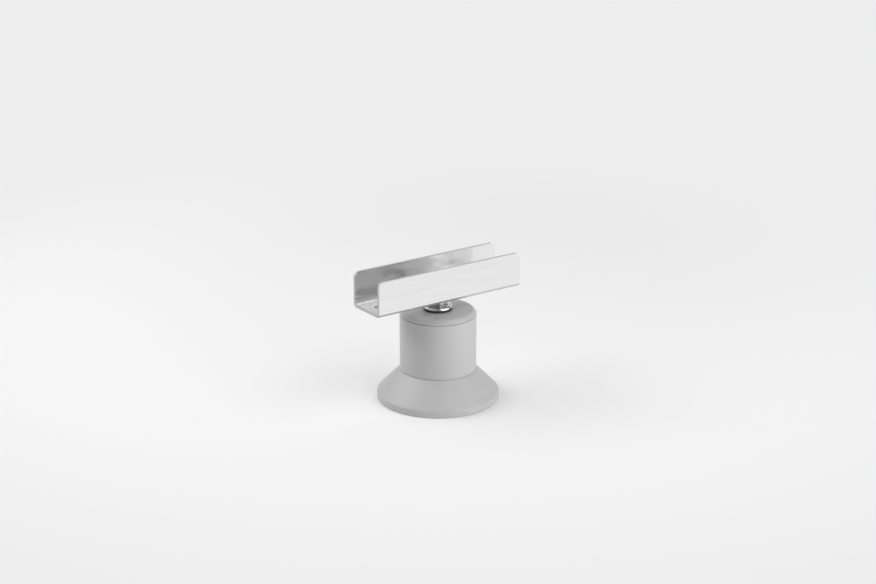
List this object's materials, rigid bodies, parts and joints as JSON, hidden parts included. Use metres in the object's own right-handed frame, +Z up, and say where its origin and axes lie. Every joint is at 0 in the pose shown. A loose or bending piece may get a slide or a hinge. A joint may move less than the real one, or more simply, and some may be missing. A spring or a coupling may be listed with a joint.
{
  "type": "adjustable furniture foot",
  "caption": "Moulded plastic levelling foot with a bell-shaped base, a threaded stud and a folded steel U-channel that holds the lower edge of a panel.",
  "frame": {"origin": "on the floor, at the middle of the foot's rim", "axes": "+Z up along the stud, +X along the channel at rest, +Y across it"},
  "size_m": [0.0886, 0.064, 0.0738],
  "materials": {
    "grey_plastic": "fine matt moulded grain",
    "zinc_steel": "bright zinc plate",
    "polished_chrome": "polished chrome plate",
    "bright_sheet": "bright rolled sheet with a fine lengthwise grain"
  },
  "bodies": {
    "foot": {"foot_moulding": "grey_plastic", "top_cap": "grey_plastic", "hex_nut": "zinc_steel"},
    "collar": {"stop_collar": "polished_chrome"},
    "bracket": {"stud": "zinc_steel", "channel_bracket": "bright_sheet"}
  },
  "joints": [
    {"name": "rise", "type": "slide", "parent": "foot", "child": "collar", "axis": [0, 0, 1], "range_m": [0, 0.015]},
    {"name": "turn", "type": "hinge", "parent": "collar", "child": "bracket", "pos_m": [0, 0, 0.0552], "axis": [0, 0, 1], "range_deg": [0, 3600]}
  ],
  "couplings": [
    {"joint": "rise", "follows": "turn", "m_per_rad": 0.00023873}
  ]
}
